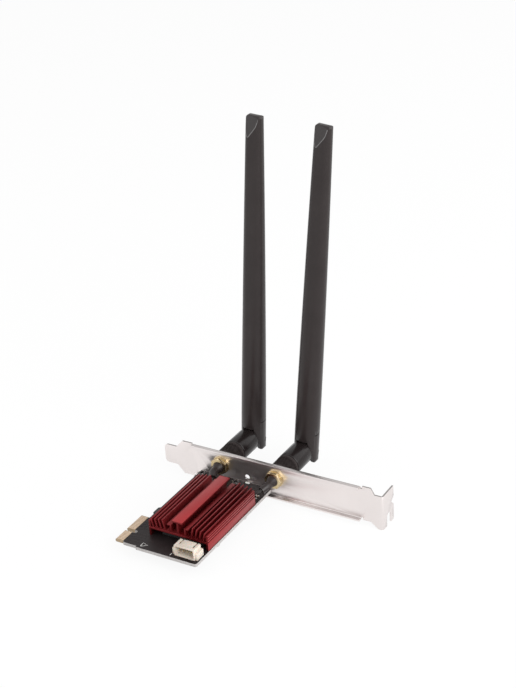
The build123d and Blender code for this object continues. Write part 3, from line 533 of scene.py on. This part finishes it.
def seamPaint(side):
    along, foot, height = heightOn(side)

    def paint(shape):
        # the seam is lifted to where it shows, level cuts keep the shading even beside it, and the seam's
        # faces take a painted shade
        low, high, lift = (antennaLook[key] for key in ("seamLow", "seamHigh", "seamLift"))
        for v in shape.verts:
            if low < height(v.co) < high:
                v.co += along * lift * mm
        middle = (low + high) / 2 + lift
        half = antennaLook["seamHalf"]
        for level in (middle - half, middle + half):
            cutAcross(shape, foot + along * level * mm, along)
        reach = half + antennaLook["seamSpare"]
        band = [face for face in shape.faces if abs(height(face.calc_center_median()) - middle) < reach]
        ledges = {face for face in band if abs(face.normal.dot(along)) > facing}
        for face in band:
            if face in ledges or any(near in ledges for edge in face.edges for near in edge.link_faces):
                face.material_index = 2
        roundEars(shape, side)
    return paint


def paintFacet(shape):
    # the slanting flat is the widest plane face near the tip, and takes a lighter black as painted light
    top = max(v.co.z for v in shape.verts)
    reach = antennaLook["facetReach"] * mm
    near = [face for face in shape.faces if top - face.calc_center_median().z < reach]
    max(near, key=lambda face: face.calc_area()).material_index = 2


for side in sides:
    joint = jointTest(side)
    extras = {"yoke": {"paint": seamPaint(side), "flush": seamTest(side), "crease": joint},
              "blade": {"paint": paintFacet, "flush": joint, "crease": joint}}
    for node, (name, look) in sideLooks.items():
        softenedCopy(side + name, side + "_" + node, {**look, **extras.get(node, {})})
print("solid copies softened")


# geometry-node helpers
def newTree(name, sockets):
    tree = bpy.data.node_groups.new(name, "GeometryNodeTree")
    tree.interface.new_socket("Geometry", in_out="INPUT", socket_type="NodeSocketGeometry")
    for label, kind in sockets.items():
        tree.interface.new_socket(label, in_out="INPUT", socket_type="NodeSocket" + kind)
    tree.interface.new_socket("Geometry", in_out="OUTPUT", socket_type="NodeSocketGeometry")
    return tree, addNode(tree, "NodeGroupInput"), addNode(tree, "NodeGroupOutput")


def feed(tree, target, value):
    if isinstance(value, bpy.types.NodeSocket):
        wire(tree, value, target)
    else:
        target.default_value = value


def calc(tree, operation, first, second=0.0):
    node = addNode(tree, "ShaderNodeMath", operation=operation)
    feed(tree, node.inputs[0], first)
    feed(tree, node.inputs[1], second)
    return node.outputs[0]


def leaveBy(tree, geometry, finish, leave):
    # every tree ends by making its instances real and giving them their finish
    real = addNode(tree, "GeometryNodeRealizeInstances")
    paint = addNode(tree, "GeometryNodeSetMaterial")
    wire(tree, geometry, real.inputs[0])
    wire(tree, real.outputs[0], paint.inputs["Geometry"])
    wire(tree, finish, paint.inputs["Material"])
    wire(tree, paint.outputs[0], leave.inputs[0])
    return paint


def repaint(tree, painted, chosen, finish, leave):
    # a second finish on the chosen faces
    paint = addNode(tree, "GeometryNodeSetMaterial")
    wire(tree, painted.outputs[0], paint.inputs["Geometry"])
    wire(tree, chosen, paint.inputs["Selection"])
    wire(tree, finish, paint.inputs["Material"])
    wire(tree, paint.outputs[0], leave.inputs[0])


def grown(name, mesh, tree, values):
    piece = linkPiece(name, mesh)
    grow = piece.modifiers.new("grow", "NODES")
    grow.node_group = tree
    for socket in tree.interface.items_tree:
        if socket.in_out == "INPUT" and socket.name in values:
            grow[socket.identifier] = values[socket.name]
    made = bakedMesh(piece)
    piece.modifiers.remove(grow)
    piece.data = made
    return piece


def pointMesh(name, points, edges=()):
    mesh = bpy.data.meshes.new(name)
    mesh.from_pydata([Vector(p) * mm for p in points], edges, [])
    return mesh


# coupling rings: a turned sleeve whose grip is cut into diamonds
ringLook = {"start": 62.31, "end": 71.91, "radius": 5.9, "bore": 3.245, "gripStart": 0.9, "gripEnd": 8.4,
            "fade": 0.25, "rows": 56, "around": 240, "teeth": 40, "depth": 0.2, "slant": 1.12,
            "grooveFrom": 0.62, "smooth": 28,
            # turned steps beside the grip, as (inset, way along) from the start, the grip's end and the end
            "foot": ((0.7, 0.0), (0.6, 0.02), (0.15, 0.5)),
            "collar": ((0.0, 0.05), (0.28, 0.1), (0.28, 0.32), (0.04, 0.38)),
            "mouth": ((0.04, -0.2), (0.22, 0.0))}


def knurlTree():
    tree, enter, leave = newTree("knurl", {"Centre X": "Float", "Centre Z": "Float", "Teeth": "Float",
                                           "Depth": "Float", "Slant": "Float", "Finish": "Material",
                                           "Groove shade finish": "Material"})
    parts = addNode(tree, "ShaderNodeSeparateXYZ")
    wire(tree, addNode(tree, "GeometryNodeInputPosition").outputs[0], parts.inputs[0])
    dx = calc(tree, "SUBTRACT", parts.outputs["X"], enter.outputs["Centre X"])
    dz = calc(tree, "SUBTRACT", parts.outputs["Z"], enter.outputs["Centre Z"])
    turn = calc(tree, "MULTIPLY", calc(tree, "ARCTAN2", dz, dx), enter.outputs["Teeth"])
    turn = calc(tree, "DIVIDE", turn, 2 * math.pi)
    drift = calc(tree, "DIVIDE", parts.outputs["Y"], enter.outputs["Slant"])
    one = calc(tree, "PINGPONG", calc(tree, "ADD", turn, drift), 0.5)
    other = calc(tree, "PINGPONG", calc(tree, "SUBTRACT", turn, drift), 0.5)
    height = calc(tree, "MULTIPLY", calc(tree, "MINIMUM", one, other), 2.0)
    grip = addNode(tree, "GeometryNodeInputNamedAttribute", {"Name": "grip"}, data_type="FLOAT")
    sink = calc(tree, "MULTIPLY", calc(tree, "SUBTRACT", 1.0, height), enter.outputs["Depth"])
    sink = calc(tree, "MULTIPLY", sink, grip.outputs["Attribute"])
    squares = calc(tree, "ADD", calc(tree, "MULTIPLY", dx, dx), calc(tree, "MULTIPLY", dz, dz))
    span = calc(tree, "SQRT", squares)
    share = calc(tree, "DIVIDE", calc(tree, "MULTIPLY", sink, -1.0), span)
    offset = addNode(tree, "ShaderNodeCombineXYZ")
    wire(tree, calc(tree, "MULTIPLY", dx, share), offset.inputs["X"])
    wire(tree, calc(tree, "MULTIPLY", dz, share), offset.inputs["Z"])
    mark = addNode(tree, "GeometryNodeStoreNamedAttribute", {"Name": "groove"}, data_type="FLOAT",
                   domain="POINT")
    wire(tree, enter.outputs["Geometry"], mark.inputs["Geometry"])
    wire(tree, calc(tree, "DIVIDE", sink, enter.outputs["Depth"]), mark.inputs["Value"])
    move = addNode(tree, "GeometryNodeSetPosition")
    wire(tree, mark.outputs[0], move.inputs["Geometry"])
    wire(tree, offset.outputs[0], move.inputs["Offset"])
    first = leaveBy(tree, move.outputs[0], enter.outputs["Finish"], leave)
    # the deepest part of each groove takes a painted shade
    groove = addNode(tree, "GeometryNodeInputNamedAttribute", {"Name": "groove"}, data_type="FLOAT")
    deep = calc(tree, "GREATER_THAN", groove.outputs["Attribute"], ringLook["grooveFrom"])
    repaint(tree, first, deep, enter.outputs["Groove shade finish"], leave)
    return tree


def ringMesh(name, x, z, look):
    # rows of (radius, y, grip) from the bore over the outside and back through the bore
    radius, start, end = look["radius"], look["start"], look["end"]

    def turned(steps, origin):
        return [(radius - inset, origin + along, 0) for inset, along in steps]

    rows = [(look["bore"], start, 0)] + turned(look["foot"], start)
    length = look["gripEnd"] - look["gripStart"]
    for i in range(look["rows"] + 1):
        along = length * i / look["rows"]
        grip = min(1, along / look["fade"], (length - along) / look["fade"])
        rows.append((radius, start + look["gripStart"] + along, grip))
    rows += turned(look["collar"], start + look["gripEnd"]) + turned(look["mouth"], end)
    rows.append((look["bore"], end, 0))
    count = look["around"]
    points, faces, grips = [], [], []
    for reach, y, grip in rows:
        for k in range(count):
            angle = 2 * math.pi * k / count
            points.append((x + reach * math.cos(angle), y, z + reach * math.sin(angle)))
            grips.append(grip)
    for i in range(len(rows)):
        j = (i + 1) % len(rows)
        for k in range(count):
            m = (k + 1) % count
            faces.append((i * count + k, j * count + k, j * count + m, i * count + m))
    mesh = bpy.data.meshes.new(name)
    mesh.from_pydata([Vector(p) * mm for p in points], [], faces)
    mesh.attributes.new("grip", "FLOAT", "POINT").data.foreach_set("value", grips)
    return mesh


knurl = knurlTree()
for side in sides:
    x, z = antennaLook[side]["x"], antennaLook["elbowZ"]
    ring = grown(side + "GripRing", ringMesh(side + "GripRing", x, z, ringLook), knurl,
                 {"Centre X": x * mm, "Centre Z": z * mm, "Teeth": float(ringLook["teeth"]),
                  "Depth": ringLook["depth"] * mm, "Slant": ringLook["slant"] * mm,
                  "Finish": finishes["ringBlack"], "Groove shade finish": finishes["grooveBlack"]})
    smoothByAngle(ring.data, ringLook["smooth"])
    settle(ring, side + "_ring", "ring_plastic", side + "_coupling_ring")
print("coupling rings knurled")


# chip capacitors: a tan body between two tinned ends
chipLook = {"places": ((40.6, 50.2), (42.4, 49.4), (42.3, 47.1), (38.2, 46.2)), "low": 0.8, "length": 1.6,
            "width": 0.8, "height": 0.8, "end": 0.34, "bodyShare": 0.93}


def chipTree():
    tree, enter, leave = newTree("chips", {"Length": "Float", "Width": "Float", "Height": "Float",
                                           "End": "Float", "Body finish": "Material",
                                           "End finish": "Material"})
    length, width, height = (enter.outputs[key] for key in ("Length", "Width", "Height"))
    end = enter.outputs["End"]

    def cuboid(x, y, z, shift):
        size = addNode(tree, "ShaderNodeCombineXYZ")
        place = addNode(tree, "ShaderNodeCombineXYZ")
        for key, value in zip("XYZ", (x, y, z)):
            feed(tree, size.inputs[key], value)
        feed(tree, place.inputs["X"], shift)
        feed(tree, place.inputs["Z"], calc(tree, "MULTIPLY", height, 0.5))
        cube = addNode(tree, "GeometryNodeMeshCube")
        move = addNode(tree, "GeometryNodeTransform")
        wire(tree, size.outputs[0], cube.inputs["Size"])
        wire(tree, cube.outputs["Mesh"], move.inputs["Geometry"])
        wire(tree, place.outputs[0], move.inputs["Translation"])
        return move.outputs[0]

    inner = calc(tree, "SUBTRACT", length, calc(tree, "MULTIPLY", end, 2.0))
    reach = calc(tree, "MULTIPLY", calc(tree, "SUBTRACT", length, end), 0.5)
    caps = addNode(tree, "GeometryNodeJoinGeometry")
    wire(tree, cuboid(end, width, height, reach), caps.inputs[0])
    wire(tree, cuboid(end, width, height, calc(tree, "MULTIPLY", reach, -1.0)), caps.inputs[0])
    mark = addNode(tree, "GeometryNodeStoreNamedAttribute", {"Name": "isEnd", "Value": True},
                   data_type="BOOLEAN", domain="FACE")
    wire(tree, caps.outputs[0], mark.inputs["Geometry"])
    whole = addNode(tree, "GeometryNodeJoinGeometry")
    slim, low = (calc(tree, "MULTIPLY", size, chipLook["bodyShare"]) for size in (width, height))
    wire(tree, cuboid(inner, slim, low, 0.0), whole.inputs[0])
    wire(tree, mark.outputs[0], whole.inputs[0])
    spread = addNode(tree, "GeometryNodeInstanceOnPoints")
    wire(tree, enter.outputs["Geometry"], spread.inputs["Points"])
    wire(tree, whole.outputs[0], spread.inputs["Instance"])
    first = leaveBy(tree, spread.outputs[0], enter.outputs["Body finish"], leave)
    isEnd = addNode(tree, "GeometryNodeInputNamedAttribute", {"Name": "isEnd"}, data_type="BOOLEAN")
    repaint(tree, first, isEnd.outputs["Attribute"], enter.outputs["End finish"], leave)
    return tree


chipPoints = [(x, y, chipLook["low"]) for x, y in chipLook["places"]]
chips = grown("chipCapacitors", pointMesh("chipCapacitors", chipPoints), chipTree(),
              {"Length": chipLook["length"] * mm, "Width": chipLook["width"] * mm,
               "Height": chipLook["height"] * mm, "End": chipLook["end"] * mm,
               "Body finish": finishes["chipTan"], "End finish": finishes["tinned"]})
settle(chips, "card", "tinned", "chip_capacitors")


# board surface: traces under the mask, ink marks and vias
surfaceLook = {"top": 0.8, "traceWidth": 0.32, "traceHeight": 0.05, "traceLift": 0.004, "inkWidth": 0.34,
               "inkHeight": 0.03, "inkLift": 0.006, "viaRadius": 0.27, "viaHeight": 0.06, "viaSides": 14,
               "viaSizes": (0.8, 1.15), "seed": 7, "fingerFirst": 1.775, "fingerCounts": (7, 11)}


def lineTree():
    tree, enter, leave = newTree("lines", {"Width": "Float", "Height": "Float", "Finish": "Material"})
    curve = addNode(tree, "GeometryNodeMeshToCurve")
    upright = addNode(tree, "GeometryNodeSetCurveNormal", mode="Z_UP")
    section = addNode(tree, "GeometryNodeCurvePrimitiveQuadrilateral")
    sweep = addNode(tree, "GeometryNodeCurveToMesh", {"Fill Caps": True})
    wire(tree, enter.outputs["Geometry"], curve.inputs["Mesh"])
    wire(tree, curve.outputs[0], upright.inputs[0])
    wire(tree, enter.outputs["Width"], section.inputs["Width"])
    wire(tree, enter.outputs["Height"], section.inputs["Height"])
    wire(tree, upright.outputs[0], sweep.inputs["Curve"])
    wire(tree, section.outputs[0], sweep.inputs["Profile Curve"])
    leaveBy(tree, sweep.outputs[0], enter.outputs["Finish"], leave)
    return tree


def pathMesh(name, paths, z):
    points, edges = [], []
    for path in paths:
        edges += [(len(points) + i, len(points) + i + 1) for i in range(len(path) - 1)]
        points += [(x, y, z) for x, y in path]
    return pointMesh(name, points, edges)


def viaTree():
    tree, enter, leave = newTree("vias", {"Radius": "Float", "Height": "Float", "Seed": "Int",
                                          "Finish": "Material"})
    dot = addNode(tree, "GeometryNodeMeshCylinder", {"Vertices": surfaceLook["viaSides"]})
    wire(tree, enter.outputs["Radius"], dot.inputs["Radius"])
    wire(tree, enter.outputs["Height"], dot.inputs["Depth"])
    size = addNode(tree, "FunctionNodeRandomValue", data_type="FLOAT")
    size.inputs[2].default_value, size.inputs[3].default_value = surfaceLook["viaSizes"]
    wire(tree, enter.outputs["Seed"], size.inputs["Seed"])
    spread = addNode(tree, "GeometryNodeInstanceOnPoints")
    wire(tree, enter.outputs["Geometry"], spread.inputs["Points"])
    wire(tree, dot.outputs["Mesh"], spread.inputs["Instance"])
    wire(tree, size.outputs[1], spread.inputs["Scale"])
    leaveBy(tree, spread.outputs[0], enter.outputs["Finish"], leave)
    return tree


# pairs of traces run from the fingers under the heat sink, and power runs to the header
first, (below, above) = surfaceLook["fingerFirst"], surfaceLook["fingerCounts"]
fingerRows = [-first - i for i in range(below)] + [first + i for i in range(above)]
traces = [((4.3, y), (6.0 + 0.25 * (i % 3), y), (7.6 + 0.25 * (i % 3), y + 1.3), (13.2, y + 1.3))
          for i, y in enumerate(fingerRows) if i % 2 == 0]
traces += [((x, -2.0), (x, -0.4), (x - 1.6, 1.2), (x - 1.6, 3.0)) for x in (34.5, 36.5, 38.5, 40.5)]
traces += [((20.0 + i, 44.0), (20.0 + i, 46.2), (22.5 + i, 48.7), (22.5 + i, 52.5))
           for i in (0.0, 0.8, 6.4, 7.2)]
inkPaths = [((13.94, -8.81), (16.77, -7.03), (13.85, -6.04), (13.94, -8.81)), ((30.2, -9.0), (30.2, -7.2)),
            ((5.2, 13.8), (9.8, 13.8)), ((5.2, 20.6), (9.8, 20.6)), ((31.2, 47.6), (31.2, 50.8)),
            ((34.8, 47.6), (34.8, 50.8))]
viaPlaces = [(8.4 + 0.9 * (i % 3), -7.6 + 1.15 * i) for i in range(7)]
viaPlaces += [(16.2 + 2.3 * i, -4.3 + 0.8 * (i % 2)) for i in range(6)]
viaPlaces += [(29.6 + 1.7 * i, 54.2 - 0.7 * (i % 2)) for i in range(4)]
lines = lineTree()
top = surfaceLook["top"]
copper = grown("maskTraces", pathMesh("maskTraces", traces, top + surfaceLook["traceLift"]), lines,
               {"Width": surfaceLook["traceWidth"] * mm, "Height": surfaceLook["traceHeight"] * mm,
                "Finish": finishes["boardMask"]})
settle(copper, "card", "board_mask")
ink = grown("inkMarks", pathMesh("inkMarks", inkPaths, top + surfaceLook["inkLift"]), lines,
            {"Width": surfaceLook["inkWidth"] * mm, "Height": surfaceLook["inkHeight"] * mm,
             "Finish": finishes["whiteInk"]})
settle(ink, "card", "board_mask")
vias = grown("viaDots", pointMesh("viaDots", [(x, y, top) for x, y in viaPlaces]), viaTree(),
             {"Radius": surfaceLook["viaRadius"] * mm, "Height": surfaceLook["viaHeight"] * mm,
              "Seed": surfaceLook["seed"], "Finish": finishes["boardMask"]})
settle(vias, "card", "board_mask")
print("board surface drawn")


# pigtails: a shrunk sleeve on the jack and a thin cable down to the module
pigtailLook = {
    "sleeveRadius": 1.95, "cableRadius": 0.685, "swell": (1.49, 1.26, 0.98, 1.0, 0.98, 0.97),
    "roundSteps": 8, "lengthSteps": 16, "order": 3, "smooth": 40,
    "left": {"sleeve": ((16.55, 56.45, 6.8), (16.55, 55.1, 6.8), (16.55, 53.5, 6.8), (16.55, 51.85, 6.8),
                        (17.32, 50.02, 6.22), (18.0, 48.41, 5.72)),
             "cable": ((16.55, 55.2, 6.8), (16.55, 51.85, 6.8), (18.15, 48.05, 5.6), (19.46, 44.45, 3.4),
                       (20.7, 37.8, 3.2), (20.7, 35.5, 3.2))},
    "right": {"sleeve": ((46.75, 56.45, 6.8), (46.75, 55.1, 6.8), (46.75, 53.5, 6.8), (46.75, 51.85, 6.8),
                         (45.98, 50.02, 6.22), (45.3, 48.41, 5.72)),
              "cable": ((46.75, 55.2, 6.8), (46.75, 51.85, 6.8), (45.15, 48.05, 5.6), (39.72, 44.45, 3.4),
                        (36.7, 37.8, 3.2), (36.7, 35.5, 3.2))},
}


def tube(name, points, radius, finish, swell=None):
    line = bpy.data.curves.new(name, "CURVE")
    line.dimensions = "3D"
    line.bevel_depth = radius * mm
    line.bevel_resolution = pigtailLook["roundSteps"]
    line.resolution_u = pigtailLook["lengthSteps"]
    line.use_fill_caps = True
    spline = line.splines.new("NURBS")
    spline.points.add(len(points) - 1)
    for k, place in enumerate(points):
        spline.points[k].co = (*(Vector(place) * mm), 1.0)
        spline.points[k].radius = swell[k] if swell else 1.0
    spline.order_u = pigtailLook["order"]
    spline.use_endpoint_u = True
    shape = linkPiece(name + "Path", line)
    piece = linkPiece(name, bakedMesh(shape))
    bpy.data.objects.remove(shape)
    piece.data.materials.clear()
    piece.data.materials.append(finishes[finish])
    smoothByAngle(piece.data, pigtailLook["smooth"])
    return piece


for side in sides:
    look = pigtailLook[side]
    cable = tube(side + "Cable", look["cable"], pigtailLook["cableRadius"], "sleeveBlack")
    settle(cable, "card", "cable_jacket", side + "_pigtail_cable")
    sleeve = tube(side + "Sleeve", look["sleeve"], pigtailLook["sleeveRadius"], "sleeveBlack",
                  pigtailLook["swell"])
    settle(sleeve, "card", "black_sleeve", side + "_pigtail_sleeve")
print("pigtails run")


# camera, as the photograph was taken
cameraLook = {"place": (0.36191, -0.46105, 0.38914), "right": (0.865255, 0.498110, -0.056741),
              "up": (-0.182910, 0.419037, 0.889354), "lens": 78.16, "sensor": 36.0,
              "clip": (0.01, 20.0)}


def makeCamera(look):
    lens = bpy.data.cameras.new("photoCamera")
    lens.lens = look["lens"]
    lens.sensor_width = look["sensor"]
    lens.clip_start, lens.clip_end = look["clip"]
    camera = linkPiece("photoCamera", lens)
    right, up = Vector(look["right"]).normalized(), Vector(look["up"]).normalized()
    back = right.cross(up)
    turn = Matrix((right, up, back)).transposed().to_4x4()
    camera.matrix_world = Matrix.Translation(look["place"]) @ turn
    scene.camera = camera


makeCamera(cameraLook)


# floor, world and lamps
stageLook = {"floorSize": 6.0, "floorColour": (0.9, 0.9, 0.9, 1), "floorRough": 0.9, "whiteShare": 0.9,
             "white": (1, 1, 1, 1), "worldStrength": 0.62}
lampLooks = [
    {"name": "keyLamp", "place": (1.05, -0.30, 0.62), "aim": (0.03, 0.04, 0.05), "size": 1.0, "power": 13.0},
    {"name": "fillLamp", "place": (-0.8, -0.6, 0.7), "aim": (0.03, 0.04, 0.05), "size": 1.2, "power": 4.0},
    {"name": "backLamp", "place": (0.75, 0.85, 0.7), "aim": (0.03, 0.06, 0.08), "size": 1.1, "power": 4.0},
]


def seenDirectly(tree):
    # 1 for rays that look at the backdrop, straight or by way of metal and glass
    path = addNode(tree, "ShaderNodeLightPath")
    both = calc(tree, "MAXIMUM", path.outputs["Is Camera Ray"], path.outputs["Is Glossy Ray"])
    return calc(tree, "MAXIMUM", both, path.outputs["Is Transmission Ray"])


def mixShaders(tree, share, plain, seen, outlet):
    blend = addNode(tree, "ShaderNodeMixShader")
    for socket, source in zip(blend.inputs, (share, plain.outputs[0], seen.outputs[0])):
        wire(tree, source, socket)
    wire(tree, blend.outputs[0], tree.nodes[outlet].inputs["Surface"])


def makeFloor(look, low):
    half = look["floorSize"] / 2
    mesh = bpy.data.meshes.new("floor")
    mesh.from_pydata([(-half, -half, low), (half, -half, low), (half, half, low), (-half, half, low)], [],
                     [(0, 1, 2, 3)])
    floor = linkPiece("floor", mesh)
    paint = plainFinish("floorPaint", {"Base Color": look["floorColour"], "Roughness": look["floorRough"]})
    tree = paint.node_tree
    glow = addNode(tree, "ShaderNodeEmission", {"Color": look["white"], "Strength": 1.0})
    share = calc(tree, "MULTIPLY", seenDirectly(tree), look["whiteShare"])
    mixShaders(tree, share, tree.nodes["Principled BSDF"], glow, "Material Output")
    mesh.materials.append(paint)


def makeWorld(look):
    world = bpy.data.worlds.new("studio")
    scene.world = world
    world.use_nodes = True
    tree = world.node_tree
    light = tree.nodes["Background"]
    light.inputs["Color"].default_value = look["white"]
    light.inputs["Strength"].default_value = look["worldStrength"]
    white = addNode(tree, "ShaderNodeBackground", {"Color": look["white"], "Strength": 1.0})
    mixShaders(tree, seenDirectly(tree), light, white, "World Output")


def makeLamps(looks):
    for look in looks:
        light = bpy.data.lights.new(look["name"], "AREA")
        light.size = look["size"]
        light.energy = look["power"]
        lamp = linkPiece(look["name"], light)
        lamp.location = look["place"]
        way = Vector(look["aim"]) - Vector(look["place"])
        lamp.rotation_euler = way.to_track_quat("-Z", "Y").to_euler()


makeFloor(stageLook, cadBox[0][2])
makeWorld(stageLook)
makeLamps(lampLooks)
scene.view_settings.view_transform = "Standard"
print("stage set")
